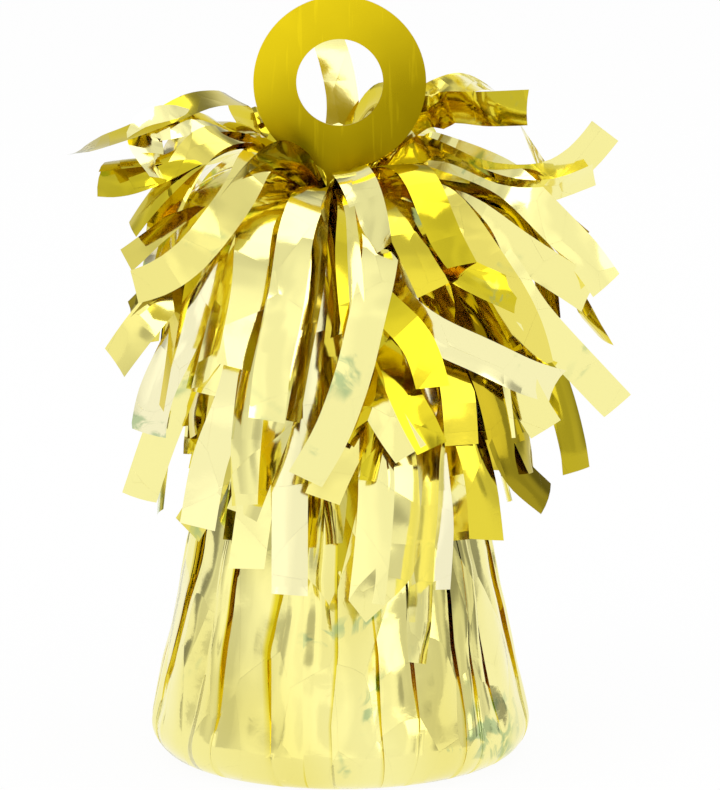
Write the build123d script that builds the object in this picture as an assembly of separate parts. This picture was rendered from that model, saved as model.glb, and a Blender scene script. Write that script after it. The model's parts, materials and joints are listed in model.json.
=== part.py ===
from build123d import *
import os
from math import asin, atan2, cos, hypot, pi, radians, sin, tan

# Foil balloon weight. A hollow plastic cone, filled with plaster and plugged, is wrapped in
# one square sheet of metallised film. The sheet is gathered above the cone, tied with a twist
# tie and slit from its edges down to the tie, so that its edges fall back as a fringe of
# strips. A flat ring tag, whose tail the tie grips, takes the balloons' ribbons.
# Millimetres, +Z up. The origin is the middle of the flat base, and the tag faces -Y.

# Plastic cone
CONE_BASE_RADIUS = 36.6     # to the sharp corner, before its edge is rounded
CONE_TOP_RADIUS = 21.5
CONE_HEIGHT = 62.0
CONE_WALL = 0.9
CONE_EDGE_ROUND = 7.0
CONE_SHOULDER_CHAMFER = 2.0
EDGE_FLATS = 3              # flats that go round the base edge
FILLER_HOLE_RADIUS = 10.0

# Filler plug, pushed into the hole at the top of the cone
PLUG_FLANGE_RADIUS = 12.5
PLUG_FLANGE_THICKNESS = 1.2
PLUG_SKIRT_DEPTH = 5.0
PLUG_WALL = 1.1
PLUG_CHAMFER = 0.6
PLUG_CLEARANCE = 0.05

# Plaster
PLASTER_TOP_GAP = 2.5       # air between the plaster and the plug's skirt
PLASTER_SHRINK = 0.1        # gap that the set plaster leaves at the wall

# Metallised film. The sheet is thinner than this, and is drawn thick enough to be a solid.
FILM_THICKNESS = 0.4
FILM_CLEARANCE = 0.3        # between the cone and the film
PLEAT_COUNT = 28
PLEAT_WANDER = 0.27         # how unevenly the pleats are spaced, as a share of their pitch
PLEAT_LAP = 0.16            # share of the pitch in which a pleat steps down to the next
PLEAT_DEPTH_BASE = 0.45
PLEAT_DEPTH_SHOULDER = 1.5
PLEAT_DEPTH_NECK = 0.7

# Gathered neck, with the waist that the tie pulls in
NECK_BOTTOM = 97.0
NECK_HEIGHT = 8.5
NECK_FLARE = 0.8            # how far the neck stands out above and below the tie
LAYER_PITCH = 0.55          # packed film under each tier of the fringe
LAYER_STEP = 0.8            # how much higher each layer ends than the one outside it

# Twist tie
TIE_WIDTH = 3.6
TIE_THICKNESS = 0.9
TIE_WIRE_HALF = 0.2         # half the width of its square wire
TIE_SLACK = 0.02
TIE_TAIL_LENGTH = 15.0
TIE_TAIL_TURNS = 1.5
TIE_TAIL_STEPS = 18         # flats along the twisted ends
TIE_TAIL_DROOP = 52.0       # degrees below level
TIE_TAIL_AZIMUTH = 104.0    # at the back, under the fringe

# Ring tag, one flat piece with its tail
RING_RADIUS = 16.2
RING_HOLE_RADIUS = 8.15
TAG_THICKNESS = 0.7
RING_LIFT = 3.5             # from the top of the neck to the ring's lowest point
TAIL_WIDTH = 5.0
TAIL_FOOT_WIDTH = 10.0
TAIL_FOOT_HEIGHT = 3.0
TAIL_FOOT_DROP = 5.0        # from the bottom of the neck to the foot
TAIL_FILLET = 3.0
TAG_LEAN = 15.0             # degrees each way, about the tie
TAG_CLEARANCE = 0.2

# Fringe
STRIP_WIDTH = 7.6
STRIP_THICKNESS = 0.3
STRIP_BANDS = 7             # flat bands along a strip
STRIP_GATHER = 0.78         # share of its pitch that a strip fills where it is gathered
STRIP_TWIST = 24.0          # degrees at the tip
STRIP_SWAY = 0.8            # share of the free room beside a strip that it may drift into
LENGTH_PACE = 5.1           # radians by which each unevenness moves on from strip to strip
SWAY_PACE = 3.7
TWIST_PACE = 2.3
HOLE_DIP = 0.55             # how much lower the strips arch before and behind the ring's hole
HOLE_HANG = 0.55            # how much lower their tips hang there, as a share of their stand-off

# Each tier of strips, from the innermost, is a Bezier curve seen from the side, measured as
# (out, up) from where the strip leaves the neck. leave is its first handle, and beside the same
# handle where the strip has to pass under the ring. shoulder is the second handle, as a share
# of the way out to the tip, and up. stand_off is from the film's pleats out to the tip, and
# drop is how far the tip hangs below the root beside the ring.
TIERS = {
    "fringe_crown": {
        "count": 16, "leave": (4.0, 13.0), "beside": (13.0, 5.0),
        "shoulder": (0.62, 30.0), "stand_off": 42.5, "drop": 14.0, "uneven": 0.06,
    },
    "fringe_upper": {
        "count": 16, "leave": (4.0, 11.0), "beside": (10.0, 4.5),
        "shoulder": (0.76, 19.0), "stand_off": 33.0, "drop": 30.0, "uneven": 0.06,
    },
    "fringe_middle": {
        "count": 15, "leave": (3.4, 9.5), "beside": (7.5, 4.0),
        "shoulder": (0.74, 11.0), "stand_off": 20.0, "drop": 46.0, "uneven": 0.05,
    },
    "fringe_lower": {
        "count": 15, "leave": (2.8, 8.0), "beside": (5.5, 3.5),
        "shoulder": (0.63, 5.0), "stand_off": 9.5, "drop": 61.0, "uneven": 0.04,
    },
    "fringe_skirt": {
        "count": 14, "leave": (2.2, 6.5), "beside": (4.0, 3.0),
        "shoulder": (0.51, 1.5), "stand_off": 2.2, "drop": 73.0, "uneven": 0.02,
    },
}

# ---- worked out from the sizes above ----
SHELL_BOTTOM = FILM_THICKNESS
SHELL_TOP = SHELL_BOTTOM + CONE_HEIGHT
CONE_SLANT = hypot(CONE_HEIGHT, CONE_BASE_RADIUS - CONE_TOP_RADIUS)
SIDE_OUT = CONE_HEIGHT / CONE_SLANT                                # the cone side's normal, outward
SIDE_UP = (CONE_BASE_RADIUS - CONE_TOP_RADIUS) / CONE_SLANT        # and upward
EDGE_CENTRE_RADIUS = CONE_BASE_RADIUS - CONE_EDGE_ROUND * (1 + SIDE_UP) / SIDE_OUT
EDGE_STEP = (pi / 2 + asin(SIDE_UP)) / EDGE_FLATS

NECK_TOP = NECK_BOTTOM + NECK_HEIGHT
GATHER_TOP = NECK_TOP + LAYER_STEP * (len(TIERS) - 1)
TIE_HEIGHT = NECK_BOTTOM + NECK_HEIGHT / 2
LEAN_SWING = (GATHER_TOP - TIE_HEIGHT) * tan(radians(TAG_LEAN))
SLOT_RADIUS = TAG_CLEARANCE + hypot(
    TAIL_WIDTH / 2,
    LEAN_SWING + TAG_THICKNESS / 2 / cos(radians(TAG_LEAN)),
)
WAIST_RADIUS = SLOT_RADIUS + LAYER_PITCH * len(TIERS) + PLEAT_DEPTH_NECK
NECK_RADIUS = WAIST_RADIUS + NECK_FLARE
RING_CENTRE = GATHER_TOP + RING_LIFT + RING_RADIUS


def pleat_angles():
    """Where each pleat's crest stands round the axis, unevenly but in order."""
    pitch = 2 * pi / PLEAT_COUNT
    return [pitch * (i + PLEAT_WANDER * sin(2.6 * i) * sin(0.9 * i)) for i in range(PLEAT_COUNT)]


def pleat_gaps():
    """The angle from each crest to the next."""
    angles = pleat_angles()
    return [b - a for a, b in zip(angles, angles[1:] + [angles[0] + 2 * pi])]


FLAT_STRETCH = 1 / cos(max(pleat_gaps()) / 2)     # keeps the flats of a polygon clear of a circle


def at(radius, angle, height):
    return (radius * cos(angle), radius * sin(angle), height)


def turned(outline):
    """A solid of revolution about Z from an (r, z) outline."""
    return revolve(Plane.XZ * make_face(Polyline(*outline, close=True)), Axis.Z)


def creased(outlines):
    """A solid with flat creased sides that joins outlines of as many points each."""
    faces = [Face(Wire.make_polygon(outlines[0])), Face(Wire.make_polygon(outlines[-1]))]
    for low, high in zip(outlines, outlines[1:]):
        for i in range(len(low)):
            faces.append(Face(Wire.make_polygon([low[i - 1], low[i], high[i]])))
            faces.append(Face(Wire.make_polygon([low[i - 1], high[i], high[i - 1]])))
    return Solid(Shell(faces))


def cone_levels(offset, bottom, top):
    """Levels, as (r, z), of a surface that stands off the cone and goes round its base edge."""
    reach = (CONE_EDGE_ROUND + offset) / cos(EDGE_STEP / 2)
    middle = SHELL_BOTTOM + CONE_EDGE_ROUND
    levels = [(EDGE_CENTRE_RADIUS + reach * sin(EDGE_STEP / 2), bottom)]
    for flat in range(1, EDGE_FLATS):
        turn = EDGE_STEP * (flat + 0.5)
        levels.append((EDGE_CENTRE_RADIUS + reach * sin(turn), middle - reach * cos(turn)))
    widening = (SHELL_TOP - top) * SIDE_UP / SIDE_OUT
    levels.append((CONE_TOP_RADIUS + offset / SIDE_OUT + widening, top))
    return levels


def cone_body(offset, bottom, top):
    levels = cone_levels(offset, bottom, top - CONE_SHOULDER_CHAMFER)
    shoulder = levels[-1][0] - CONE_SHOULDER_CHAMFER
    return turned([(0, bottom)] + levels + [(shoulder, top), (0, top)])


def weight_shell():
    cavity = cone_body(-CONE_WALL, SHELL_BOTTOM + CONE_WALL, SHELL_TOP - CONE_WALL)
    hole = Pos(0, 0, SHELL_TOP) * Cylinder(FILLER_HOLE_RADIUS, 4 * CONE_WALL)
    return cone_body(0, SHELL_BOTTOM, SHELL_TOP) - cavity - hole


def plaster_fill():
    top = SHELL_TOP - PLUG_SKIRT_DEPTH - PLASTER_TOP_GAP
    return cone_body(-CONE_WALL - PLASTER_SHRINK, SHELL_BOTTOM + CONE_WALL, top)


def filler_plug():
    skirt = FILLER_HOLE_RADIUS - PLUG_CLEARANCE
    bottom = SHELL_TOP - PLUG_SKIRT_DEPTH
    top = SHELL_TOP + PLUG_FLANGE_THICKNESS
    return turned([
        (0, SHELL_TOP), (skirt - PLUG_WALL, SHELL_TOP), (skirt - PLUG_WALL, bottom),
        (skirt, bottom), (skirt, SHELL_TOP), (PLUG_FLANGE_RADIUS, SHELL_TOP),
        (PLUG_FLANGE_RADIUS, top - PLUG_CHAMFER), (PLUG_FLANGE_RADIUS - PLUG_CHAMFER, top), (0, top),
    ])


def pleated_outline(valley, depth, height):
    """A saw-toothed ring: each pleat rises to a crest and steps down under the next."""
    points = []
    for angle, gap in zip(pleat_angles(), pleat_gaps()):
        points.append(at(valley + depth, angle, height))
        points.append(at(valley, angle + PLEAT_LAP * gap, height))
    return points


def plain_outline(radius, height):
    """A many-sided ring, with one corner under each pleat, that stays outside the radius."""
    return [at(radius * FLAT_STRETCH, angle, height) for angle in pleat_angles()]


def flat_sided_disc(radius, bottom, top):
    face = make_face(Polyline(*plain_outline(radius, bottom), close=True))
    return extrude(face, top - bottom, dir=(0, 0, 1))


def flat_sided_ring(inner, outer, bottom, top):
    return flat_sided_disc(outer, bottom, top) - flat_sided_disc(inner, bottom, top)


def foil_wrapper():
    """The pleated film: its flat base, the side over the cone, the hollow above and the neck."""
    side = cone_levels(FILM_CLEARANCE + FILM_THICKNESS, 0, SHELL_TOP)
    depths = [0.0] + [PLEAT_DEPTH_BASE] * (EDGE_FLATS - 1) + [PLEAT_DEPTH_SHOULDER]
    film = [pleated_outline(r * FLAT_STRETCH, d, z) for (r, z), d in zip(side, depths)]
    half_tie = TIE_WIDTH / 2
    for radius, height in (
        (NECK_RADIUS, NECK_BOTTOM),
        (WAIST_RADIUS, TIE_HEIGHT - half_tie),
        (WAIST_RADIUS, TIE_HEIGHT + half_tie),
        (NECK_RADIUS, NECK_TOP),
    ):
        film.append(pleated_outline(radius - PLEAT_DEPTH_NECK, PLEAT_DEPTH_NECK, height))
    hollow = [plain_outline(r, z) for r, z in cone_levels(FILM_CLEARANCE, SHELL_BOTTOM, SHELL_TOP)]
    hollow.append(plain_outline(SLOT_RADIUS, NECK_BOTTOM))
    hollow.append(plain_outline(SLOT_RADIUS, NECK_TOP))
    wrapper = creased(film) - creased(hollow)
    for layer in range(1, len(TIERS)):
        bottom = NECK_TOP + LAYER_STEP * (len(TIERS) - 1 - layer)
        outside = SLOT_RADIUS + LAYER_PITCH * layer
        wrapper += flat_sided_ring(SLOT_RADIUS, outside, bottom, bottom + LAYER_STEP)
    return wrapper


def twisted_ends():
    """The two ends of the tie, twisted together, standing up from the origin."""
    diagonal = hypot(TIE_WIDTH / 2, TIE_THICKNESS)
    corner = atan2(TIE_THICKNESS, TIE_WIDTH / 2)
    sections = []
    for step in range(TIE_TAIL_STEPS + 1):
        share = step / TIE_TAIL_STEPS
        turn = 2 * pi * TIE_TAIL_TURNS * share
        corners = (corner, pi - corner, pi + corner, -corner)
        sections.append([at(diagonal, turn + angle, TIE_TAIL_LENGTH * share) for angle in corners])
    return creased(sections)


def twist_tie():
    """The tie's plastic strip round the waist, with its twisted ends, and the wire inside it."""
    inner = WAIST_RADIUS + TIE_SLACK
    middle = inner + TIE_THICKNESS / 2
    bottom, top = TIE_HEIGHT - TIE_WIDTH / 2, TIE_HEIGHT + TIE_WIDTH / 2
    wire = flat_sided_ring(
        middle - TIE_WIRE_HALF, middle + TIE_WIRE_HALF,
        TIE_HEIGHT - TIE_WIRE_HALF, TIE_HEIGHT + TIE_WIRE_HALF,
    )
    start = Rot(0, 0, TIE_TAIL_AZIMUTH) * Pos(middle + TIE_WIRE_HALF, 0, TIE_HEIGHT)
    tail = start * Rot(0, 90 + TIE_TAIL_DROOP, 0) * twisted_ends()
    band = flat_sided_disc(inner + TIE_THICKNESS, bottom, top)
    neck = flat_sided_disc(inner, bottom - TIE_WIDTH, top + TIE_WIDTH)
    return band + tail - neck - wire, wire


def ring_tag():
    """The flat ring and its tail, which passes through the neck to a wider foot."""
    foot_top = NECK_BOTTOM - TAIL_FOOT_DROP
    tail_top = RING_CENTRE - (RING_RADIUS + RING_HOLE_RADIUS) / 2
    tail = Pos(0, (foot_top + tail_top) / 2) * Rectangle(TAIL_WIDTH, tail_top - foot_top)
    outline = Pos(0, RING_CENTRE) * Circle(RING_RADIUS) + tail
    corners = outline.vertices().sort_by(Axis.Y)
    joins = [v for v in corners if abs(abs(v.X) - TAIL_WIDTH / 2) < 0.01 and v.Y > TIE_HEIGHT]
    outline = fillet(joins, TAIL_FILLET)
    outline += Pos(0, foot_top - TAIL_FOOT_HEIGHT / 2) * RectangleRounded(
        TAIL_FOOT_WIDTH, TAIL_FOOT_HEIGHT, TAIL_FOOT_HEIGHT / 3
    )
    outline -= Pos(0, RING_CENTRE) * Circle(RING_HOLE_RADIUS)
    return extrude(Plane.XZ * outline, TAG_THICKNESS / 2, both=True)


def film_radius(height):
    """How far out the crests of the film's pleats stand at a height."""
    shoulder = CONE_TOP_RADIUS + (FILM_CLEARANCE + FILM_THICKNESS) / SIDE_OUT
    shoulder = shoulder * FLAT_STRETCH + PLEAT_DEPTH_SHOULDER
    if height < SHELL_TOP:
        return shoulder + (SHELL_TOP - height) * SIDE_UP / SIDE_OUT
    rise = min(1, (height - SHELL_TOP) / (NECK_BOTTOM - SHELL_TOP))
    return shoulder + (NECK_RADIUS - shoulder) * rise


def arch_point(tier, root, height, azimuth, stretch, share):
    """A point of a strip's arch, as (out, up) from its root."""
    under_ring = cos(azimuth) ** 2
    by_hole = sin(azimuth) ** 2
    dip = 1 - HOLE_DIP * by_hole
    drop = tier["drop"] + HOLE_HANG * tier["stand_off"] * by_hole
    out_1, up_1 = [a + (b - a) * under_ring for a, b in zip(tier["leave"], tier["beside"])]
    out_3 = film_radius(height - tier["drop"]) + tier["stand_off"] - root
    out_2, up_2 = out_3 * tier["shoulder"][0], tier["shoulder"][1]
    near, middle, far = 3 * share * (1 - share) ** 2, 3 * share**2 * (1 - share), share**3
    out = near * out_1 + middle * out_2 + far * out_3
    up = near * up_1 * dip + middle * up_2 * dip - far * drop
    return out * stretch, up * (1 + (stretch - 1) * share)


def wander(index, pace):
    """A value from -1 to 1 that changes from one strip to the next."""
    return sin(pace * (index + 1))


def film_strip(root, height, azimuth, tier, index):
    """One strip: gathered where it leaves the neck, and its full width past the bend."""
    stretch = 1 + tier["uneven"] * wander(index, LENGTH_PACE)
    sway = STRIP_SWAY * wander(index, SWAY_PACE)
    twist = STRIP_TWIST * wander(index, TWIST_PACE)
    outward = Vector(cos(azimuth), sin(azimuth), 0)
    sideways = Vector(-sin(azimuth), cos(azimuth), 0)
    line, widths = [], []
    for step in range(STRIP_BANDS + 1):
        out, up = arch_point(tier, root, height, azimuth, stretch, step / STRIP_BANDS)
        pitch = 2 * pi * (root + out) / tier["count"]
        width = min(STRIP_WIDTH, STRIP_GATHER * pitch)
        drift = sway * (pitch - width) / 2
        line.append(outward * (root + out) + sideways * drift + Vector(0, 0, height + up))
        widths.append(width)
    sections = []
    for step, (point, width) in enumerate(zip(line, widths)):
        along = line[min(step + 1, STRIP_BANDS)] - line[max(step - 1, 0)] if step else Vector(0, 0, 1)
        along = along.normalized()
        across = (sideways - along * sideways.dot(along)).normalized()
        across = across.rotate(Axis((0, 0, 0), along), twist * (step / STRIP_BANDS) ** 2)
        half, face = across * (width / 2), across.cross(along) * (STRIP_THICKNESS / 2)
        sections.append([
            point + half + face, point - half + face, point - half - face, point + half - face,
        ])
    return creased(sections)


def fringe_tier(layer, tier):
    """A ring of strips that stand on their own layer of the gathered neck."""
    root = SLOT_RADIUS * FLAT_STRETCH + LAYER_PITCH * (layer + 0.5)
    height = NECK_TOP + LAYER_STEP * (len(TIERS) - 1 - layer)
    turn = 2 * pi / tier["count"]
    return Compound(children=[
        film_strip(root, height, turn * (index + 0.5), tier, index) for index in range(tier["count"])
    ])


def main():
    os.makedirs("parts", exist_ok=True)
    tie_strip, tie_wire = twist_tie()
    pieces = {
        "weight_shell": weight_shell(),
        "plaster_fill": plaster_fill(),
        "filler_plug": filler_plug(),
        "foil_wrapper": foil_wrapper(),
        "tie_strip": tie_strip,
        "tie_wire": tie_wire,
        "ring_tag": ring_tag(),
    }
    for layer, (name, tier) in enumerate(TIERS.items()):
        pieces[name] = fringe_tier(layer, tier)
    for name, piece in pieces.items():
        export_step(piece, f"parts/{name}.step")
        print(name, "solids", len(piece.solids()), "volume", round(piece.volume, 1))


main()
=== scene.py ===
import bpy
import json
import math
import random
import numpy as np
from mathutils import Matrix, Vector, noise


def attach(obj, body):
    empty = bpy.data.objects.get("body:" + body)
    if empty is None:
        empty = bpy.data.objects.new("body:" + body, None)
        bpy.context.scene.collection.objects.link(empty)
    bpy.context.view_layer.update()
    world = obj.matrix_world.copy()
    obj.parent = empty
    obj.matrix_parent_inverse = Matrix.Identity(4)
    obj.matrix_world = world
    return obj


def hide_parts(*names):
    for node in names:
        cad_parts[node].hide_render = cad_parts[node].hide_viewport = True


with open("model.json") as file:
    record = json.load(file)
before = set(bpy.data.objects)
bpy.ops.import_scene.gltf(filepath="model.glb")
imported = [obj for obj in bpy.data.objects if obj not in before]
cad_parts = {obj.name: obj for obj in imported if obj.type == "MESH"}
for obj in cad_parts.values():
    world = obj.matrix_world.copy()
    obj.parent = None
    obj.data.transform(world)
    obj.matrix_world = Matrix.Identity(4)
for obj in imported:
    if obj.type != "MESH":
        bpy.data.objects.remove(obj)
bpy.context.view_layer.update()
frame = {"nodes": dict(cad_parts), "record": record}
print("frame loaded")

mm = 0.001                      # the film and the strips are worked out in millimetres
view = {"aim": (0.0038, 0, 0.0689), "elevation": 10, "distance": 0.833, "lens": 200}
viewRise = math.radians(view["elevation"])
towardsCamera = (0.0, -math.cos(viewRise), math.sin(viewRise))
pivotHeight = frame["record"]["behaviour"]["joints"][0]["pos_m"][2] / mm
ringMount = next(m for m in frame["record"]["mounts"] if m["name"] == "ribbon_hole")
ringHeight = ringMount["pos_m"][2] / mm


# shader nodes: a Link is an output that takes part in sums, a Tree makes every other node
class Link:
    def __init__(self, tree, socket):
        self.tree = tree
        self.socket = socket

    def worked(self, operation, first, second):
        return self.tree.node("ShaderNodeMath", {"operation": operation}, {0: first, 1: second})

    def __add__(self, other):
        return self.worked("ADD", self, other)

    def __radd__(self, other):
        return self.worked("ADD", other, self)

    def __sub__(self, other):
        return self.worked("SUBTRACT", self, other)

    def __rsub__(self, other):
        return self.worked("SUBTRACT", other, self)

    def __mul__(self, other):
        return self.worked("MULTIPLY", self, other)

    def __rmul__(self, other):
        return self.worked("MULTIPLY", other, self)

    def over(self, low, high):
        # 0 below low, 1 above high, and smooth between
        limits = {"From Min": low, "From Max": high, "Value": self}
        return self.tree.node("ShaderNodeMapRange", {"interpolation_type": "SMOOTHSTEP"}, limits)


class Tree:
    def __init__(self, owner):
        owner.use_nodes = True
        self.nodes = owner.node_tree.nodes
        self.links = owner.node_tree.links
        self.nodes.clear()

    def node(self, kind, settings=None, inputs=None, output=0):
        made = self.nodes.new(kind)
        for name, value in (settings or {}).items():
            setattr(made, name, value)
        for name, value in (inputs or {}).items():
            if isinstance(value, Link):
                self.links.new(value.socket, made.inputs[name])
            else:
                made.inputs[name].default_value = value
        return Link(self, made.outputs[output]) if len(made.outputs) else None

    def mix(self, mask, first, second):
        # a colour mix has its factor in socket 0, its colours in 6 and 7 and its result in 2
        return self.node("ShaderNodeMix", {"data_type": "RGBA"}, {0: mask, 6: first, 7: second}, 2)

    def vectors(self, operation, first, second, output=0):
        return self.node("ShaderNodeVectorMath", {"operation": operation}, {0: first, 1: second}, output)

    def places(self, stretch=None):
        where = self.node("ShaderNodeTexCoord", output="Object")
        if stretch is None:
            return where
        return self.node("ShaderNodeMapping", {}, {"Vector": where, "Scale": stretch})

    def noise(self, scale, detail=2.0, distortion=0.0, stretch=(1, 1, 1)):
        where = self.places(stretch)
        facts = {"Vector": where, "Scale": scale, "Detail": detail, "Distortion": distortion}
        return self.node("ShaderNodeTexNoise", {}, facts, "Fac")

    def bump(self, height, strength, distance):
        facts = {"Height": height, "Strength": strength, "Distance": distance}
        return self.node("ShaderNodeBump", {}, facts)

    def attribute(self, name):
        return self.node("ShaderNodeAttribute", {"attribute_name": name}, output="Fac")

    def surface(self, **sockets):
        names = {name.replace("_", " "): value for name, value in sockets.items()}
        shade = self.node("ShaderNodeBsdfPrincipled", {}, names)
        self.node("ShaderNodeOutputMaterial", {}, {"Surface": shade})


def newMaterial(name):
    made = bpy.data.materials.new(name)
    return made, Tree(made)


# metallised film: mirror bright, and crumpled into small flat facets. The tone of a point runs
# from -1, silver, over 0, pale, and 0.5, yellow, to 1, olive, where the film faces itself: yellow
# and olive are painted reflection and painted shade of the film in itself
film = {
    "silver": (0.90, 0.86, 0.70, 1),
    "pale": (0.95, 0.89, 0.37, 1),
    "paintedReflectionYellow": (0.77, 0.635, 0.025, 1),
    "paintedShadeOlive": (0.24, 0.175, 0.01, 1),
    "cloud": (0.30, 0.46, 0.22, 1),     # of small greenish patches, a painted greenish reflection, and how far they turn to that colour
    "greenReflectionShare": 0.7,                  # and how far they turn to that colour
    "roughness": (0.05, 0.15),
    # noises as (scale, detail, distortion)
    "patches": (52, 3, 0.8),
    "specks": (150, 4, 1.6),
    "dullness": (70, 2),
    "waves": (60, 2, 0.3),
    "grain": (520, 3, 0.8),
    # how high waves and grain stand beside the facets
    "waveHeight": 0.0016,
    "grainHeight": 0.00006,
    # facets to the metre, how they are stretched, and how much they stand out
    "onCone": {"facets": 120, "stretch": (1, 1, 0.4), "relief": 0.21},
    "onStrips": {"facets": 70, "stretch": (1, 1, 1), "relief": 0.11},
}


def crumple(tree, facets, stretch):
    # every cell of the pattern is a flat facet with a slope of its own
    where = tree.places(stretch)
    facts = {"Vector": where, "Scale": facets, "Randomness": 1.0}
    middle = tree.node("ShaderNodeTexVoronoi", {}, facts, "Position")
    cell = tree.node("ShaderNodeTexVoronoi", {}, facts, "Color")
    away = tree.vectors("SUBTRACT", where, middle)
    slope = tree.vectors("SUBTRACT", cell, (0.5, 0.5, 0.5))
    return tree.vectors("DOT_PRODUCT", away, slope, "Value")


def filmMaterial(name, facets, stretch, relief):
    made, tree = newMaterial(name)
    tone = tree.attribute("tone")
    greenReflectionMask = tree.noise(*film["patches"]).over(0.6, 0.69) * tree.noise(*film["specks"]).over(0.44, 0.56)
    colour = tree.mix(tone.over(-1.0, 0.0), film["silver"], film["pale"])
    # painted reflection and painted shade: tones above 0 turn the film yellow, then olive
    colour = tree.mix(tone.over(0.0, 0.5), colour, film["paintedReflectionYellow"])
    colour = tree.mix(tone.over(0.5, 1.0), colour, film["paintedShadeOlive"])
    # painted reflection: small greenish patches on the film
    colour = tree.mix(greenReflectionMask * film["greenReflectionShare"], colour, film["cloud"])
    low, high = film["roughness"]
    rough = low + (high - low) * tree.noise(*film["dullness"])
    waves = tree.noise(*film["waves"]) * film["waveHeight"]
    grain = tree.noise(*film["grain"]) * film["grainHeight"]
    height = crumple(tree, facets, stretch) + waves + grain
    tree.surface(Base_Color=colour, Metallic=1.0, Roughness=rough,
                 Normal=tree.bump(height, 1.0, relief))
    return made


# the ring tag: satin gold card, with a painted reflection that makes it brighter towards its top left
# and painted shade below
tag = {
    # the darker gold is painted shade, the brighter one painted reflection together with wear
    "shadedGold": (0.21, 0.145, 0.0, 1),
    "reflectionAndWearGold": (0.86, 0.66, 0.01, 1),
    "roughness": (0.22, 0.36),
    "brighter": (0.109, 0.150),     # metres up between which the painted reflection turns it brighter
    "slantwise": 0.5,               # and that rises by so much to the right
    "paintedReflectionShare": 0.85,                # how much of the change comes from that,
    "markShare": 0.1,               # and from each of the marks
    # marks as noises of (scale, detail, distortion, stretch)
    "mottle": (160, 5, 0.4),
    "scratches": (900, 2, 0.2, (1, 1, 0.08)),
    "broad": (34, 2, 0.6),
    "depths": (4.0, 0.6, 0.4),      # of broad, mottle and scratches in the relief
    "relief": 0.00006,
}


def tagMaterial():
    made, tree = newMaterial("satinGoldCard")
    mottle = tree.noise(*tag["mottle"])
    scratches = tree.noise(*tag["scratches"])
    broad = tree.noise(*tag["broad"])
    side, height = (tree.node("ShaderNodeSeparateXYZ", {}, {0: tree.places()}, k) for k in (0, 2))
    # painted reflection: brighter up and to the left, and painted shade lower down
    paintedReflectionUp = (height - side * tag["slantwise"]).over(*tag["brighter"])
    marks = broad.over(0.36, 0.66) + mottle + scratches.over(0.62, 0.7)
    # the colour is mostly that painted reflection and shade, with a little of the real marks
    paintedReflectionAndWear = paintedReflectionUp * tag["paintedReflectionShare"] + marks * tag["markShare"]
    colour = tree.mix(paintedReflectionAndWear, tag["shadedGold"], tag["reflectionAndWearGold"])
    low, high = tag["roughness"]
    broadDepth, mottleDepth, scratchDepth = tag["depths"]
    relief = broad * broadDepth + mottle * mottleDepth + scratches * scratchDepth
    tree.surface(Base_Color=colour, Metallic=1.0, Roughness=low + (high - low) * mottle,
                 Normal=tree.bump(relief, 0.35, tag["relief"]))
    return made


# the pieces inside, each in a plain finish with a grain of so many spots to the metre
plain = {
    "weight_shell": {"name": "whitePlastic", "colour": (0.82, 0.82, 0.80, 1),
                     "darker": (0.74, 0.74, 0.72, 1), "rough": 0.42, "spots": 260, "depth": 0.00005},
    "plaster_fill": {"name": "setPlaster", "colour": (0.86, 0.84, 0.79, 1),
                     "darker": (0.74, 0.71, 0.66, 1), "rough": 0.82, "spots": 320, "depth": 0.0002},
    "filler_plug": {"name": "plugPlastic", "colour": (0.76, 0.76, 0.74, 1),
                    "darker": (0.68, 0.68, 0.66, 1), "rough": 0.45, "spots": 300, "depth": 0.00005},
    "tie_strip": {"name": "tiePlastic", "colour": (0.80, 0.62, 0.10, 1), "metal": 0.6,
                  "darker": (0.62, 0.46, 0.05, 1), "rough": 0.3, "spots": 400, "depth": 0.00006},
    "tie_wire": {"name": "tieWire", "colour": (0.52, 0.52, 0.52, 1), "metal": 1.0,
                 "darker": (0.40, 0.40, 0.40, 1), "rough": 0.35, "spots": 500, "depth": 0.00004},
}


def plainMaterial(name, colour, darker, rough, spots, depth, metal=0.0):
    made, tree = newMaterial(name)
    grain = tree.noise(spots, 5, 0.2)
    tree.surface(Base_Color=tree.mix(grain.over(0.35, 0.7), colour, darker), Metallic=metal,
                 Roughness=rough + 0.12 * grain, Normal=tree.bump(grain, 0.5, depth))
    return made


filmOnCone = filmMaterial("filmOnCone", **film["onCone"])
filmStrip = filmMaterial("filmStrip", **film["onStrips"])
finishes = {node: plainMaterial(**facts) for node, facts in plain.items()}
finishes["ring_tag"] = tagMaterial()
for node, finish in finishes.items():
    frame["nodes"][node].data.materials.clear()
    frame["nodes"][node].data.materials.append(finish)
print("materials made")


# a shape is a mesh in the making: an edge between two points of one fold, 0 or more, stays sharp
def newShape():
    return {"points": [], "faces": [], "folds": [], "tones": []}


def makePiece(name, shape, material, replaced):
    mesh = bpy.data.meshes.new(name)
    mesh.from_pydata([tuple(p) for p in np.asarray(shape["points"]) * mm], [], shape["faces"])
    mesh.update()
    ends = np.zeros(len(mesh.edges) * 2, int)
    mesh.edges.foreach_get("vertices", ends)
    foldsAt = np.asarray(shape["folds"])[ends.reshape(-1, 2)]
    sharp = mesh.attributes.new("sharp_edge", "BOOLEAN", "EDGE")
    sharp.data.foreach_set("value", (foldsAt[:, 0] == foldsAt[:, 1]) & (foldsAt[:, 0] >= 0))
    tone = mesh.attributes.new("tone", "FLOAT", "POINT")
    tone.data.foreach_set("value", np.asarray(shape["tones"], np.float32))
    mesh.polygons.foreach_set("use_smooth", np.ones(len(shape["faces"]), bool))
    mesh.materials.append(material)
    piece = bpy.data.objects.new(name, mesh)
    bpy.context.collection.objects.link(piece)
    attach(piece, "weight")
    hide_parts(*replaced)
    return piece


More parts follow.
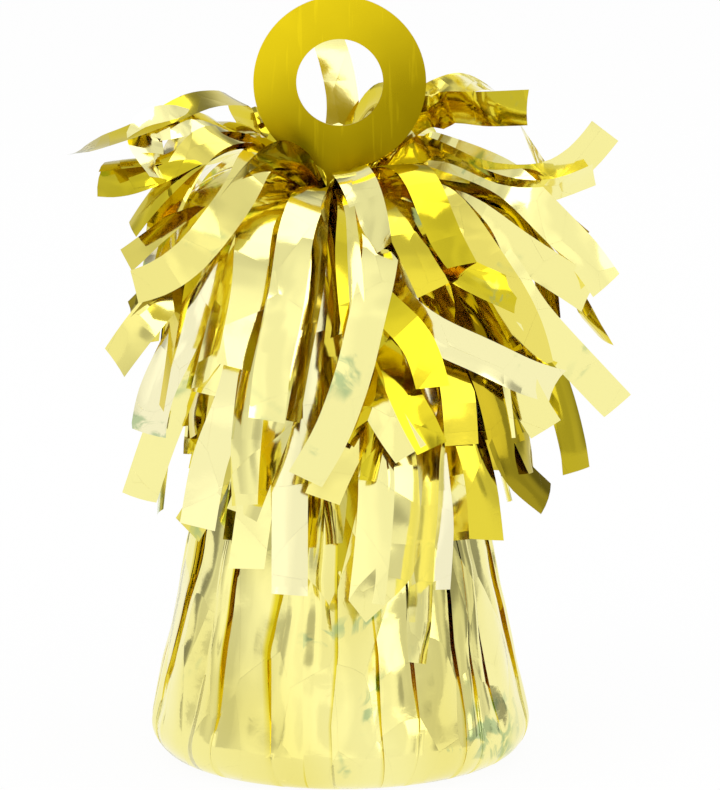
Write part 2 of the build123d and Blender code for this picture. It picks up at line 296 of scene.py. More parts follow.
# the pleated film over the cone: knife pleats that deepen from the base edge up to the neck
wrapper = {
    "seed": 5,
    "pleats": 28,
    "across": 9,                    # columns over the face of a pleat,
    "under": 4,                     # and over the fold that leads to the next one
    "baseRows": 10,
    "edgeRows": 12,
    "rise": 1.4,                    # from row to row up the side
    "baseHole": 1.5,                # radius of the first row
    "baseLift": 0.05,
    "edgeCentre": (29.9, 6.2),      # (out, up) of the middle of the round base edge
    "edgeRadius": 6.2,
    "sideSlope": 0.2366,
    "shoulder": (23.6, 62.4),
    "neckFoot": (7.9, 97.0),
    "waist": (7.05, 99.4, 103.1),   # (out, from, to)
    "neckTop": (7.7, 106.0),
    "shellGap": 0.4,                # kept from the weight within,
    "shellTop": 63,                 # below this height
    # tables of (height, value): how far a fold runs on behind its crest
    "hidden": ((0, 0.05), (9, 0.9), (40, 6.0), (62, 8.6), (97, 6.0), (106, 5.2)),
    # how deep it lies there
    "drop": ((0, 0.02), (5, 0.3), (14, 0.9), (40, 1.5), (62, 1.6), (97, 1.2), (106, 1.2)),
    # how much the face of a pleat bulges
    "puff": ((0, 0.0), (9, 0.25), (40, 0.8), (62, 0.9), (97, 0.2), (99, 0.0)),
    # extra depth of a face right beside the crest that laps over it
    "valley": ((4, 0.0), (20, 0.8), (45, 2.0), (62, 2.3), (92, 0.8)),
    "valleyEnd": 7,                 # the higher, the sooner that ends
    "wander": 0.36,                 # share of the pitch by which a crest may be off its place
    "stray": 0.15,                  # share of pleats that lap against their neighbours
    "slant": 0.09,                  # radians by which a crest may lean
    "kink": 0.024,                  # and by which it wanders at these heights
    "kinkHeights": range(0, 108, 13),
    "depth": (0.4, 1.6),            # folds differ by this factor,
    "bulge": (0.35, 1.2),           # and bulges by this one
    "fade": (-14, 18),              # heights at which a fold starts to show,
    "fadeRun": 26,                  # and over how far it comes out in full
    "leastShown": 0.03,
    "sharpFrom": 0.1,               # how far a fold has come out where its edges turn sharp
    "dents": ((0.09, 0.5), (0.21, 0.3)),    # (noise scale, height in mm)
    "tone": 0.14,
    "toneNoise": (0.06, 0.12),      # (noise scale, how much it changes the tone)
    "paintedFoldShade": 0.55,               # painted shade: how much darker the film is inside a fold
}


def table(pairs, at):
    return float(np.interp(at, [p[0] for p in pairs], [p[1] for p in pairs]))


def between(first, last, share):
    return tuple(a + (b - a) * share for a, b in zip(first, last))


def coneProfile():
    # (out, up) from the middle of the base to the neck's top
    outEdge, upEdge = wrapper["edgeCentre"]
    radius = wrapper["edgeRadius"]
    lean = math.atan(wrapper["sideSlope"])
    outs = np.linspace(wrapper["baseHole"], outEdge, wrapper["baseRows"])
    line = [(out, wrapper["baseLift"]) for out in outs]
    for turn in np.linspace(0.12, math.pi / 2 + lean, wrapper["edgeRows"]):
        line.append((outEdge + radius * math.sin(turn), upEdge - radius * math.cos(turn)))
    corners = [line[-1], wrapper["shoulder"], wrapper["neckFoot"]]
    for foot, head in zip(corners, corners[1:]):
        steps = max(2, int(math.dist(foot, head) / wrapper["rise"]))
        line += [between(foot, head, share) for share in np.linspace(0, 1, steps + 1)[1:]]
    waist, low, high = wrapper["waist"]
    line += [(waist, low), (waist, (low + high) / 2), (waist, high), wrapper["neckTop"]]
    return line


def filmRadius(height):
    line = coneLine[wrapper["baseRows"]:]
    return float(np.interp(height, [p[1] for p in line], [p[0] for p in line]))


def shellProfile():
    # (height, radius) of the outside of the weight within, so that the film never dips into it
    corners = np.array([v.co for v in frame["nodes"]["weight_shell"].data.vertices]) / mm
    outs = np.hypot(corners[:, 0], corners[:, 1])
    heights = np.round(corners[:, 2], 2)
    line = []
    for height in np.unique(heights):
        spot = (height, outs[heights == height].max())
        while len(line) > 1 and bendsIn(line[-2], line[-1], spot):
            line.pop()
        line.append(spot)
    return line


def bendsIn(before, spot, after):
    # whether the spot lies inside the line from the one before it to the one after
    rise = (spot[0] - before[0]) * (after[1] - spot[1])
    return rise >= (spot[1] - before[1]) * (after[0] - spot[0])


def drawPleats():
    # what differs from pleat to pleat; a lap of 1 puts a crest over the pleat before it
    dice = random.Random(wrapper["seed"])
    count = wrapper["pleats"]
    pitch = 2 * math.pi / count
    crests = [pitch * (i + dice.uniform(-1, 1) * wrapper["wander"]) for i in range(count)]
    ways = [1 if math.sin(2 * crest) < 0 else -1 for crest in crests]
    return {
        "crest": crests,
        "lap": [way if dice.random() > wrapper["stray"] else -way for way in ways],
        "slant": [dice.uniform(-1, 1) * wrapper["slant"] for _ in crests],
        "depth": [dice.uniform(*wrapper["depth"]) for _ in crests],
        "bulge": [dice.uniform(*wrapper["bulge"]) for _ in crests],
        "fade": [dice.uniform(*wrapper["fade"]) for _ in crests],
        "kink": [[dice.gauss(0, wrapper["kink"]) for _ in wrapper["kinkHeights"]] for _ in crests],
    }


def crestAngles(pleats, up):
    sway = math.sin(math.pi * min(1, up / wrapper["neckFoot"][1]))
    crests = zip(pleats["crest"], pleats["slant"], pleats["kink"])
    return [crest + slant * sway + np.interp(up, wrapper["kinkHeights"], kink)
            for crest, slant, kink in crests]


def foldsShown(pleats, up):
    # how far each fold has come out at a height
    least = wrapper["leastShown"]
    return [least + (1 - least) * min(1, max(0, (up - fade) / wrapper["fadeRun"]))
            for fade in pleats["fade"]]


def denting(up):
    # full on the side, less at the base edge and in the neck, and none under the tie
    if up < 92:
        return min(1, up / 12)
    return 0.3 if up < 98 else 0


def filmRow(shape, pleats, out, up):
    # a pleat's face runs from one crest to the next, and folds back under or over its neighbour,
    # so its layers never cross: the one on top is high at the crest, the other one low
    count, across, under = wrapper["pleats"], wrapper["across"], wrapper["under"]
    onBase = up < 2 * wrapper["baseLift"]
    hidden = 0.02 if onBase else table(wrapper["hidden"], up)
    drop, puff, valley = (table(wrapper[name], up) for name in ("drop", "puff", "valley"))
    inner = 0
    if not onBase and up < wrapper["shellTop"]:
        inner = max(table(shellLine, up) + wrapper["shellGap"], 0.5)
    angles = crestAngles(pleats, up)
    shown = foldsShown(pleats, up)
    dented = denting(up)
    lap, depth, bulge = pleats["lap"], pleats["depth"], pleats["bulge"]
    toneScale, toneChange = wrapper["toneNoise"]
    soon, sharpFrom = wrapper["valleyEnd"], wrapper["sharpFrom"]
    for i in range(count):
        j = (i + 1) % count
        start = angles[i]
        end = angles[j] + (2 * math.pi if j == 0 else 0)
        tuck = [hidden * depth[k] * shown[k] / max(out, 4) for k in (i, j)]
        fall = [drop * depth[k] * (0.3 + 0.7 * shown[k]) for k in (i, j)]
        # (angle, lift) where this face starts and ends, and where the next one starts
        first = (start, 0.0) if lap[i] > 0 else (start - tuck[0], -fall[0])
        last = (end + tuck[1], -fall[1]) if lap[j] > 0 else (end, 0.0)
        nextFirst = (end, 0.0) if lap[j] > 0 else (end - tuck[1], -fall[1])
        for k in range(across + under):
            if k < across:
                share = k / across
                angle, lift = between(first, last, share)
                lift += puff * bulge[i] * math.sin(math.pi * share) ** 2
                lowFirst = math.exp(-share * soon) if lap[i] < 0 else 0
                lowLast = math.exp(share * soon - soon) if lap[j] > 0 else 0
                lift -= valley * (lowFirst * depth[i] * shown[i] + lowLast * depth[j] * shown[j])
            else:
                angle, lift = between(last, nextFirst, (k - across) / under)
            where = Vector((math.cos(angle) * out, math.sin(angle) * out, up * 0.7))
            lift += dented * sum(noise.noise(where * scale) * high for scale, high in wrapper["dents"])
            radius = max(out + lift, inner)
            shape["points"].append((math.cos(angle) * radius, math.sin(angle) * radius, max(up, 0.02)))
            fold = -1
            if k == 0 and shown[i] > sharpFrom:
                fold = 2 * i
            if k == across and shown[j] > sharpFrom:
                fold = 2 * i + 1
            shape["folds"].append(fold)
            # painted shade inside the fold that leads to the next pleat
            foldShade = wrapper["paintedFoldShade"] * shown[j] if k >= across else 0
            shape["tones"].append(wrapper["tone"] + toneChange * noise.noise(where * toneScale) + foldShade)


def wrapperPiece():
    shape = newShape()
    pleats = drawPleats()
    for out, up in coneLine:
        filmRow(shape, pleats, out, up)
    ring = wrapper["pleats"] * (wrapper["across"] + wrapper["under"])
    for level in range(len(coneLine) - 1):
        for k in range(ring):
            a, b = level * ring + k, level * ring + (k + 1) % ring
            shape["faces"].append((a, b, b + ring, a + ring))
    shape["faces"].append(tuple(reversed(range(ring))))
    piece = makePiece("pleated_film", shape, filmOnCone, ["foil_wrapper"])
    # flat, the film is a square; the area of the circle that reaches to the neck's top is worked out
    # here and not kept
    side = 2 * flatReach * mm
    math.pi * side * side / 4 * 0.999


shellLine = shellProfile()
coneLine = coneProfile()
flatReach = sum(math.dist(a, b) for a, b in zip(coneLine, coneLine[1:])) + coneLine[0][0]
wrapperPiece()
print("film wrapped round the cone, reach", round(flatReach, 1), "mm")


# the fringe: strips that leave the neck, bend over and hang
strip = {
    "seed": 40,                 # of the first tier; each further one has the next
    "width": 6.6,
    "rootWidth": 2.3,           # gathered at the neck,
    "gatherLength": 13.0,       # and opened out over this length
    "columns": 5,
    "step": 1.5,
    "turnDown": 14.0,           # over how far the fringe turns down beyond its reach
    "narrow": 1.42,             # how much sooner that is on the left side
    "hang": -80,                # and the pitch in degrees that it turns to
    "lower": 0.45,              # how much flatter strips rise before and behind the ring,
    "steeper": 12,              # and by how many degrees more they hang there
    "sag": 14,                  # degrees by which a strip may bend down on its way
    "filmTop": 96,              # height up to which the strips keep their gap to the film
    "ringClear": 19.6,          # radius kept free round the middle of the ring
    "underRing": 0.6,           # and a little more where a strip passes under it,
    "ringDepth": 2.5,           # as it does when it is nearer than this to the tag's middle plane
    "lean": 16.5,               # degrees kept free each way for the tag,
    "pathGap": 3.8,             # and millimetres besides, with its own thickness in them
    "veer": (0.2, 1.6, 0.25),   # how much it veers at first and later, and the share where that is
    "creases": (9, 26),         # millimetres from one to the next
    "creaseTurn": 8,            # degrees by which a strip twists at one,
    "creaseKick": 0.5,          # and millimetres by which it is pushed out
    "setCreases": 0.6,          # how strong they are in a listed strip
    "curl": (0.35, 0.4),        # millimetres of arch across, all over and more towards the tip
    "skew": 1.2,                # of the cut at the tip
    "foldNumbers": 50,          # more than the creases of any strip
    "paintedRootShade": 0.8,            # painted shade: how dark a strip starts at the neck, where the strips crowd, and over how far that ends
    "rootShade": 16,            # and over how far that ends
    "offPlace": 0.35,           # share of the spacing by which a strip may be off its place
    "flipped": 0.12,            # share of strips that are turned over,
    "flip": (60, 130),          # by so many degrees
    "setTones": (-0.7, 0.05),   # drawn for a listed strip whose tone is 0
    # tones as (drawn below, lightest, darkest); the darker draws paint shade and reflection
    "tones": ((0.14, -1, -0.5), (0.6, 0, 0.14), (0.92, 0.25, 0.6), (math.inf, 0.6, 0.9)),
}
# the tiers, from the top one down. Of a strip: leave and end, its pitch in degrees at the neck and
# at the tip, bend, over how far it changes, root and foot, how far out and how high it leaves the
# neck, gap, kept to the film, turn and swing, the usual roll and veer in degrees, reach, how far
# out it turns down, and deep, which makes the tones darker. front: degrees each side of the
# photographed front that hold listed strips, and fill: the share of the others that stay there
tiers = {
    "fringe_crown": {
        "count": 26, "leave": (60, 82), "end": (-4, -45), "bend": (15, 26), "root": (3.9, 4.6),
        "foot": 107.5, "gap": 9.0, "length": (62, 84), "turn": 30, "swing": 17,
        "fill": 0.0, "deep": 0.0, "front": 122, "reach": 40,
    },
    "fringe_upper": {
        "count": 30, "leave": (48, 76), "end": (-28, -58), "bend": (12, 22), "root": (4.3, 5.3),
        "foot": 106.8, "gap": 6.0, "length": (60, 80), "turn": 28, "swing": 15,
        "fill": 0.1, "deep": 0.05, "front": 112, "reach": 38,
    },
    "fringe_middle": {
        "count": 34, "leave": (40, 66), "end": (-46, -68), "bend": (8, 16), "root": (4.9, 5.9),
        "foot": 106.0, "gap": 3.6, "length": (62, 79), "turn": 36, "swing": 13,
        "fill": 0.5, "deep": 0.22, "front": 104, "reach": 31,
    },
    "fringe_lower": {
        "count": 34, "leave": (30, 58), "end": (-62, -78), "bend": (5, 11), "root": (5.5, 6.5),
        "foot": 105.4, "gap": 2.0, "length": (58, 73), "turn": 36, "swing": 10,
        "fill": 0.5, "deep": 0.12, "front": 100, "reach": 29,
    },
    "fringe_skirt": {
        "count": 30, "leave": (25, 50), "end": (-72, -86), "bend": (4, 8), "root": (6.1, 7.2),
        "foot": 104.9, "gap": 0.9, "length": (44, 62), "turn": 26, "swing": 8,
        "fill": 0.9, "deep": 0.1, "front": 92, "reach": 28,
    },
}
# strips of the photographed front, each as (tone, rolls from root to tip, places it passes); a dark
# tone paints the shade and reflection that strip shows
setStrips = {
    "fringe_upper": (
        (0.08, (10, 0, -10),
         ((-15, -19, 107), (-16, -29, 101), (-16, -34, 95), (-17, -37, 90), (-19, -40, 81))),
        (0.05, (0, 5, 0),
         ((-6, -19, 109), (-8, -28, 104), (-9, -35, 96), (-10, -39, 90),
          (-12, -41, 82), (-13, -44, 72))),
        (0, (0, 0, 10),
         ((-22, -14, 104), (-24, -24, 99), (-26, -28, 92), (-28, -30, 86),
          (-31, -30, 80), (-34, -30, 74), (-35, -30, 67))),
        (0.8, (70, 72, 66), ((-3, -20, 109), (-4, -33, 94), (-7, -37, 81), (-9, -39, 71))),
        (0.55, (-25, -20, -30),
         ((13, -13, 115), (16, -21, 111), (18, -27, 106), (20, -30, 102), (22, -31, 98))),
        (0.42, (-20, -30, -20), ((8, -20, 109), (11, -28, 105), (14, -32, 100), (17, -34, 94))),
        (0.3, (-10, -5, 10),
         ((19, -21, 109), (24, -27, 103), (28, -29, 97), (32, -28, 91), (35, -27, 84), (36, -27, 79))),
        (0.5, (-30, -20, -30), ((17, -27, 103), (20, -31, 98), (27, -32, 95), (33, -29, 92))),
        (0, (0, 10, 0), ((10, -32, 91), (17, -34, 86), (26, -33, 82), (35, -30, 77), (40, -25, 75))),
        (0.7, (60, 66, 60), ((31, -14, 107), (37, -18, 97), (39, -20, 87))),
        (0.2, (40, 36, 30), ((0, -22, 108), (1, -31, 101), (2, -36, 93), (1, -39, 87))),
        (0.45, (-35, -30, -20), ((3, -24, 108), (2, -32, 101), (3, -37, 92), (4, -40, 85))),
        (0, (0, 0, -5),
         ((8, -29, 103), (7, -35, 97), (5, -40, 90), (3, -43, 81), (-1, -46, 70), (-6, -48, 62))),
        (0.1, (10, 20, 10), ((30, -26, 83), (33, -27, 76), (36, -27, 70), (38, -26, 67))),
        (0.85, (20, 30, -40, -45), ((25, -28, 84), (29, -30, 71), (31, -31, 61), (38, -26, 54))),
    ),
    "fringe_crown": (
        (0.2, (20, 0, -15),
         ((-15, -16, 117), (-18, -27, 111), (-22, -33, 106), (-27, -36, 100),
          (-33, -36, 96), (-37, -35, 95))),
        (0.2, (10, 0, 25),
         ((-20, -16, 108), (-26, -25, 100), (-32, -30, 92), (-37, -31, 86), (-41, -29, 80))),
        (0.6, (60, 55, 70),
         ((-15, 8, 121), (-19, 2, 125), (-26, -8, 126), (-31, -14, 124),
          (-38, -16, 121), (-49, -11, 117))),
        (0, (50, 20, 10),
         ((-22, -11, 122), (-30, -16, 123), (-37, -14, 122), (-35, -19, 116), (-32, -24, 113))),
        (0.7, (65, 60, 75),
         ((-15, 6, 118), (-19, -2, 121), (-23, -12, 120), (-30, -18, 116),
          (-39, -18, 115), (-43, -16, 114))),
        (0.62, (30, 60, 20),
         ((-15, -8, 118), (-20, -14, 119), (-27, -20, 117), (-33, -22, 114),
          (-39, -20, 112), (-44, -15, 112))),
        (0.3, (20, 10, 30),
         ((-21, -15, 121), (-26, -20, 119), (-29, -23, 114), (-32, -24, 108), (-33, -24, 103))),
        (0.62, (30, 40, 60),
         ((-20, -13, 119), (-25, -18, 117), (-30, -23, 113), (-35, -24, 108), (-38, -24, 104))),
        (0.85, (75, 80, 70),
         ((-14, -15, 119), (-19, -23, 115), (-23, -27, 109), (-28, -30, 103),
          (-33, -29, 96), (-39, -26, 89))),
        (0.3, (55, 60, 50),
         ((-19, -20, 114), (-25, -25, 110), (-30, -27, 106), (-35, -27, 102), (-39, -28, 99))),
        (0.05, (40, 15, 0, 0),
         ((10, 7, 117), (17, 0, 116), (26, -10, 114), (32, -18, 112),
          (38, -21, 106), (45, -21, 99), (49, -20, 93))),
        (0.3, (50, 30, 20),
         ((10, 5, 115), (21, -4, 113), (29, -12, 111), (37, -14, 106), (44, -14, 100))),
        (-0.4, (80, 84, 82, 84),
         ((12, 13, 120), (16, 14, 124), (21, 10, 127), (26, 0, 129),
          (31, -6, 126), (35, -9, 118), (39, -10, 112))),
        (0.45, (30, 20, 0),
         ((11, 12, 117), (13, 12, 121), (20, 8, 123), (27, -6, 124), (35, -12, 125))),
        (0.1, (30, 40, 20),
         ((11, 4, 117), (19, -4, 116), (30, -14, 112), (39, -18, 112), (45, -17, 116), (49, -15, 121))),
        (0.05, (50, 60, 50),
         ((11, 2, 116), (20, -6, 114), (31, -18, 110), (39, -19, 110), (47, -16, 113))),
        (0.05, (0, 5, 10), ((29, -27, 99), (35, -28, 89), (42, -25, 81), (52, -13, 69))),
        (0.1, (10, 5, 0), ((24, -24, 107), (32, -27, 101), (41, -24, 95), (46, -19, 91))),
        (0.3, (60, 66, 70), ((36, -14, 102), (44, -14, 91), (49, -10, 81))),
        (0, (-10, 0, 20), ((2, -16, 114), (4, -22, 112), (6, -28, 106), (7, -32, 101))),
        (0.04, (20, 25, 15, 30),
         ((0, 10, 118), (1, 12, 122), (0, 14, 126), (-1, 16, 132), (-3, 16, 136), (-4, 19, 139))),
        (0.6, (60, 50, 40),
         ((2, 9, 116), (2, 12, 119), (4, 15, 122), (6, 19, 124), (9, 24, 123), (11, 28, 119))),
    ),
    "fringe_middle": (
        (0.05, (15, 0, 0), ((-19, -23, 96), (-20, -26, 90), (-22, -28, 82), (-24, -29, 74))),
        (0, (0, 0, 0),
         ((-15, -26, 91), (-17, -28, 83), (-19, -30, 74), (-22, -31, 67),
          (-24, -31, 62), (-26, -32, 50))),
        (0.55, (30, 50, 80), ((-22, -23, 83), (-25, -26, 76), (-28, -26, 70), (-27, -27, 66))),
        (0.5, (-25, -30, -20),
         ((2, -30, 101), (6, -35, 93), (10, -37, 90), (15, -37, 85), (17, -38, 77))),
        (0.7, (50, 56, 60), ((22, -26, 96), (26, -28, 90), (30, -28, 82))),
        (0.6, (-40, -40, -50), ((9, -33, 86), (7, -36, 80), (4, -40, 73), (1, -42, 68))),
        (0.1, (10, 15, 20), ((4, -35, 81), (6, -38, 76), (10, -40, 69), (13, -40, 65))),
        (0.55, (-30, -30, -25), ((7, -33, 86), (10, -37, 80), (13, -39, 73), (17, -39, 66))),
        (0.42, (-35, -45, -20),
         ((18, -26, 89), (20, -30, 78), (23, -31, 69), (26, -33, 59), (27, -34, 48))),
        (0.05, (20, 15, 10), ((27, -24, 85), (28, -28, 75), (29, -30, 66))),
        (0.6, (-40, -50, -40), ((28, -23, 81), (31, -25, 70), (32, -27, 59))),
        (0.05, (0, 0, 0), ((-27, -24, 83), (-30, -27, 73), (-33, -26, 66), (-37, -25, 54))),
        (0.1, (25, 20, 30), ((-9, -32, 80), (-12, -35, 68), (-15, -36, 61), (-18, -36, 53))),
        (0.2, (-10, -15, -10), ((6, -35, 77), (2, -38, 67), (-1, -40, 62), (-3, -41, 57))),
        (0.5, (-40, -50, -60), ((8, -33, 78), (7, -36, 70), (5, -39, 60))),
    ),
    "fringe_lower": (
        (0, (0, 0, 0), ((-11, -30, 74), (-13, -32, 64), (-15, -34, 57), (-17, -36, 43))),
        (0, (0, 0, 0), ((-7, -31, 75), (-9, -35, 61), (-9, -38, 49), (-9, -40, 39))),
        (0, (0, 0, 0), ((6, -32, 71), (7, -36, 58), (6, -40, 46), (5, -42, 38))),
        (0.1, (-20, -20, -30, -40),
         ((11, -32, 65), (12, -36, 53), (13, -37, 45), (8, -41, 41), (3, -44, 37))),
        (0.1, (60, 55, 50, 60),
         ((18, -27, 74), (16, -32, 64), (16, -36, 51), (15, -39, 40), (14, -43, 27))),
        (0, (20, 10, 0), ((16, -29, 67), (18, -32, 52), (17, -36, 39))),
        (0.05, (0, 10, 0), ((24, -21, 83), (27, -24, 74), (28, -25, 65))),
        (0.3, (30, 40, 30), ((-15, -26, 83), (-20, -28, 67), (-23, -28, 57), (-28, -25, 48))),
    ),
}


def keepClear(x, y, z, gap):
    # off the film and out of the tag's path
    out = math.hypot(x, y)
    least = filmRadius(z) + gap if z < strip["filmTop"] else 0
    if out < least:
        x, y = x * least / max(out, 0.1), y * least / max(out, 0.1)
    path = (z - pivotHeight) * math.tan(math.radians(strip["lean"])) + strip["pathGap"]
    if math.hypot(x, z - ringHeight) < strip["ringClear"] and abs(y) < path:
        under = ringHeight - math.sqrt(max(0, strip["ringClear"] ** 2 - x * x)) - strip["underRing"]
        if z - under < path - abs(y) or abs(y) < strip["ringDepth"]:
            z = min(z, under)
        else:
            y = math.copysign(path, y)
    return x, y, z


def droop(azimuth, tier, dice):
    # up from the neck, over in one bend, and then nearly straight, as stiff film falls
    length = dice.uniform(*tier["length"])
    leave, end = (math.radians(dice.uniform(*tier[name])) for name in ("leave", "end"))
    bend = dice.uniform(*tier["bend"])
    sag = math.radians(dice.uniform(0, strip["sag"]))
    front = abs(math.sin(azimuth)) ** 6         # 1 before and behind the ring, 0 at its sides
    leave *= 1 - strip["lower"] * front
    bend *= 1 - strip["lower"] * front
    end -= math.radians(strip["steeper"]) * front
    swing = math.radians(dice.gauss(0, tier["swing"])) / length
    root = dice.uniform(*tier["root"])
    x, y, z = root * math.cos(azimuth), root * math.sin(azimuth), tier["foot"] + dice.uniform(-0.6, 0.8)
    early, later, veerFrom = strip["veer"]
    step = strip["step"]
    points = [(x, y, z)]
    heading = azimuth
    for index in range(int(length / step)):
        share = index * step / length
        pitch = end + (leave - end) * math.exp(-(index * step / bend) ** 1.5) - sag * share
        out = math.hypot(x * (strip["narrow"] if x < 0 else 1), y)
        fall = min(1, max(0, (out - tier["reach"]) / strip["turnDown"])) ** 2
        pitch = pitch * (1 - fall) + math.radians(strip["hang"]) * fall
        heading += swing * step * (later if share > veerFrom else early)
        x += step * math.cos(pitch) * math.cos(heading)
        y += step * math.cos(pitch) * math.sin(heading)
        z += step * math.sin(pitch)
        x, y, z = keepClear(x, y, z, tier["gap"] * min(1, share * 4))
        points.append((x, y, z))
    return np.array(points)


def throughPlaces(places, tier, dice):
    # from the neck, over a low crest, and through the places that a strip was seen to pass
    first = np.array(places[0], float)
    azimuth = math.atan2(first[1], first[0])
    root = dice.uniform(*tier["root"])
    start = np.array([root * math.cos(azimuth), root * math.sin(azimuth), tier["foot"]])
    rise = max(first[2], start[2]) + 1.5
    crest = start + (first - start) * 0.4
    crest[2] = max(crest[2], min(rise, start[2] + 6))
    line = np.array([start, crest] + [np.array(p, float) for p in places])
    line = smoothed(evenly(line, 2.5), 3)
    return np.array([keepClear(*p, tier["gap"] * min(1, k * 0.12) * 0.3) for k, p in enumerate(line)])


def evenly(points, step):
    # the same line with points a step apart
    runs = np.linalg.norm(np.diff(points, axis=0), axis=1)
    along = np.concatenate([[0], np.cumsum(runs)])
    count = max(4, int(round(along[-1] / step)))
    places = np.linspace(0, along[-1], count + 1)
    return np.stack([np.interp(places, along, points[:, k]) for k in range(3)], axis=1)


def smoothed(points, times):
    for _ in range(times):
        inner = points[1:-1] * 0.5 + (points[:-2] + points[2:]) * 0.25
        points = np.concatenate([points[:1], inner, points[-1:]])
    return points


def creasePlaces(length, dice):
    # shares of the length, with the root and the tip among them
    knots = [0.0]
    while knots[-1] < 1:
        knots.append(knots[-1] + dice.uniform(*strip["creases"]) / length)
    knots[-1] = 1.0
    return knots


def creaseNoise(places, knots, amount, dice):
    values = [0.0] + [dice.gauss(0, amount) for _ in knots[1:]]
    return np.interp(places, knots, values)


def alongAndAcross(line, sideways):
    # the way along the line and the way across it, at every point
    along = np.gradient(line, axis=0)
    along /= np.linalg.norm(along, axis=1)[:, None]
    across = sideways - along * (along @ sideways)[:, None]
    across /= np.maximum(np.linalg.norm(across, axis=1), 0.05)[:, None]
    return along, across


def gathered(run):
    # how wide the strip is at each run from the neck, how high its small folds stand there, and
    # how far it has opened out
    opened = np.clip(run / strip["gatherLength"], 0, 1)
    opened = opened * opened * (3 - 2 * opened)
    widths = strip["rootWidth"] + (strip["width"] - strip["rootWidth"]) * opened
    gaps = strip["columns"] - 1
    spare = (strip["width"] / gaps) ** 2 - (widths / gaps) ** 2
    return widths, np.sqrt(np.maximum(0, spare)) * 0.6, opened


def ribbon(line, sideways, rolls, tone, dice, shape, creased=1.0):
    # one strip as rows of points across a line, with the rolls in degrees from root to tip
    line = evenly(line, strip["step"])
    count = len(line)
    places = np.linspace(0, 1, count)
    length = strip["step"] * (count - 1)
    knots = creasePlaces(length, dice)
    along, across = alongAndAcross(line, sideways)
    roll = np.interp(places, np.linspace(0, 1, len(rolls)), rolls)
    twist = creaseNoise(places, knots, strip["creaseTurn"] * creased, dice)
    roll = np.radians(roll + twist * np.minimum(1, places * 4))
    turned = across * np.cos(roll)[:, None] + np.cross(along, across) * np.sin(roll)[:, None]
    normal = np.cross(along, turned)
    kick = creaseNoise(places, knots, strip["creaseKick"] * creased, dice) * np.minimum(1, places * 3)
    line = line + normal * kick[:, None]
    widths, fold, opened = gathered(places * length)
    allCurl, tipCurl = strip["curl"]
    curl = dice.gauss(0, allCurl) + dice.gauss(0, tipCurl) * places
    skew = dice.uniform(-strip["skew"], strip["skew"])
    start = len(shape["points"])
    firstFold = shape["strips"] * strip["foldNumbers"]
    creaseRows = {int(round(k * (count - 1))): n for n, k in enumerate(knots) if 0.08 < k < 0.995}
    columns = strip["columns"]
    for row in range(count):
        # painted shade, darkest at the neck and gone after rootShade millimetres
        shade = strip["paintedRootShade"] - strip["paintedRootShade"] * length * places[row] / strip["rootShade"]
        for k in range(columns):
            side = k / (columns - 1) - 0.5
            lift = fold[row] * (k % 2) + curl[row] * (1 - 4 * side * side) * opened[row]
            slant = skew * side * (1 if row == count - 1 else 0)
            spot = line[row] + turned[row] * widths[row] * side + normal[row] * lift + along[row] * slant
            shape["points"].append(spot)
            shape["folds"].append(firstFold + creaseRows[row] if row in creaseRows else -1)
            shape["tones"].append(max(tone, shade))
    for row in range(count - 1):
        for k in range(columns - 1):
            a = start + row * columns + k
            shape["faces"].append((a, a + 1, a + columns + 1, a + columns))
    shape["strips"] += 1
    shape["length"] += length


def someTone(dice, deep):
    # the higher deep is, the more draws fall on the darker tones of painted shade and reflection
    pick = dice.random() + deep
    lightest, darkest = next(tones[1:] for tones in strip["tones"] if pick < tones[0])
    return dice.uniform(lightest, darkest)


def fringePiece(name, tier, seed):
    dice = random.Random(seed)
    shape = {**newShape(), "strips": 0, "length": 0.0}
    for index in range(tier["count"]):
        place = index + dice.uniform(-strip["offPlace"], strip["offPlace"])
        azimuth = 2 * math.pi * place / tier["count"]
        fromFront = abs((math.degrees(azimuth) + 90 + 180) % 360 - 180)     # the front is at -90
        spare = dice.random()
        line = smoothed(evenly(droop(azimuth, tier, dice), strip["step"]), 3)
        turn = dice.gauss(0, tier["turn"])
        if dice.random() < strip["flipped"]:
            turn += dice.choice((-1, 1)) * dice.uniform(*strip["flip"])
        tone = someTone(dice, tier["deep"])
        if fromFront < tier["front"] and spare > tier["fill"]:
            continue
        sideways = np.array([-math.sin(azimuth), math.cos(azimuth), 0.0])
        ribbon(line, sideways, [0, turn * 0.25, turn * 0.7, turn], tone, dice, shape)
    for tone, rolls, places in setStrips.get(name, ()):
        line = throughPlaces(places, tier, dice)
        sideways = np.cross(towardsCamera, np.subtract(places[-1], places[0]))
        sideways /= np.linalg.norm(sideways)
        tone = tone or dice.uniform(*strip["setTones"])
        ribbon(line, sideways, rolls, tone, dice, shape, strip["setCreases"])
    piece = makePiece(name + "_strips", shape, filmStrip, [name])


for number, (name, tier) in enumerate(tiers.items()):
    fringePiece(name, tier, strip["seed"] + number)


# the studio: white floor, wide soft lamps, and a room whose darker sides give the film contrast
studio = {
    "lamps": {
        "key": {"at": (-0.75, -0.95, 1.15), "size": 0.9, "watts": 5.0},
        "fill": {"at": (1.05, -0.75, 0.65), "size": 0.8, "watts": 2.0},
        "top": {"at": (0.15, 0.35, 1.4), "size": 0.9, "watts": 3.0},
    },
    "lampAim": (0, 0, 0.07),
    "room": 1.04,
    "cloud": 0.16,              # how much dimmer its dim parts are
    "cloudScale": 2.6,
    "sides": (                  # (towards, half angle and softness in degrees, how much brighter)
        ((0.0, -0.95, 0.3), 46, 22, 0.38),
        ((0.9, 0.35, 0.15), 14, 6, -0.6),
        ((-0.85, 0.5, 0.1), 13, 6, -0.65),
        ((-0.62, -0.72, 0.3), 5, 3, -0.4),
        ((0.78, -0.6, 0.02), 6, 3, -0.5),
        ((0.05, 0.75, 0.6), 12, 5, -0.6),
    ),
    "floor": (0.93, 0.93, 0.93, 1),
    "floorHalf": 6.0,
    "floorDrop": 0.0002,        # so that it doesn't touch the base
    "floorWhite": 0.94,         # share of plain white in it, where it is seen or mirrored
}


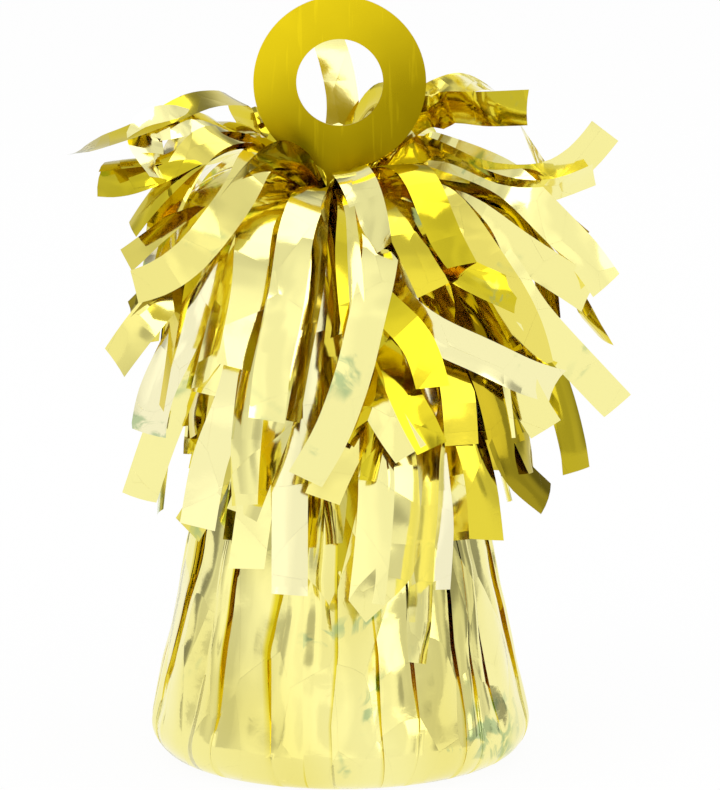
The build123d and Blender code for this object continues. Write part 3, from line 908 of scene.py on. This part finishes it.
def lamps():
    for name, lamp in studio["lamps"].items():
        light = bpy.data.lights.new(name, "AREA")
        light.shape = "SQUARE"
        light.size = lamp["size"]
        light.energy = lamp["watts"]
        made = bpy.data.objects.new(name, light)
        made.location = lamp["at"]
        aim = Vector(studio["lampAim"]) - made.location
        made.rotation_euler = aim.to_track_quat("-Z", "Y").to_euler()
        bpy.context.collection.objects.link(made)


def room():
    world = bpy.data.worlds.new("studioRoom")
    bpy.context.scene.world = world
    tree = Tree(world)
    way = tree.node("ShaderNodeTexCoord", output="Generated")
    level = 1.0
    for direction, halfAngle, softness, change in studio["sides"]:
        aim = Vector(direction).normalized()
        towards = tree.vectors("DOT_PRODUCT", way, tuple(aim), "Value")
        rim = [math.cos(math.radians(max(0, halfAngle + turn * softness))) for turn in (1, -1)]
        level = level * (1 + change * towards.over(*rim))
    facts = {"Vector": way, "Scale": studio["cloudScale"], "Detail": 1.0}
    cloud = tree.node("ShaderNodeTexNoise", {}, facts, "Fac")
    level = level * (studio["room"] - studio["cloud"] * cloud.over(0.42, 0.62))
    # the room itself is seen as plain white
    seen = tree.node("ShaderNodeLightPath", output="Is Camera Ray")
    shade = tree.node("ShaderNodeBackground", {}, {"Strength": level * (1 - seen) + seen})
    tree.node("ShaderNodeOutputWorld", {}, {"Surface": shade})


def studioFloor():
    mesh = bpy.data.meshes.new("floor")
    half = studio["floorHalf"]
    corners = [(-half, -half, 0), (half, -half, 0), (half, half, 0), (-half, half, 0)]
    mesh.from_pydata(corners, [], [(0, 1, 2, 3)])
    made = bpy.data.objects.new("floor", mesh)
    made.location.z = -studio["floorDrop"]
    bpy.context.collection.objects.link(made)
    paint, tree = newMaterial("floorPaint")
    rays = ("Is Camera Ray", "Is Glossy Ray", "Is Transmission Ray")
    camera, glossy, through = (tree.node("ShaderNodeLightPath", output=name) for name in rays)
    seen = (camera + glossy + through).over(0, 1)
    matt = tree.node("ShaderNodeBsdfDiffuse", {}, {"Color": studio["floor"]})
    white = tree.node("ShaderNodeEmission", {}, {"Strength": 1.0})
    both = tree.node("ShaderNodeMixShader", {}, {0: studio["floorWhite"] * seen, 1: matt, 2: white})
    tree.node("ShaderNodeOutputMaterial", {}, {"Surface": both})
    mesh.materials.append(paint)


def cameraAtPhoto():
    data = bpy.data.cameras.new("photoCamera")
    data.lens = view["lens"]
    made = bpy.data.objects.new("photoCamera", data)
    back = Vector(towardsCamera)
    made.location = Vector(view["aim"]) + back * view["distance"]
    made.rotation_euler = (-back).to_track_quat("-Z", "Y").to_euler()
    bpy.context.collection.objects.link(made)
    bpy.context.scene.camera = made


lamps()
room()
studioFloor()
cameraAtPhoto()
bpy.context.scene.view_settings.view_transform = "Standard"
bpy.context.scene.cycles.max_bounces = 16      # light goes to and fro many times between the strips
bpy.context.scene.cycles.glossy_bounces = 16
print("studio ready")
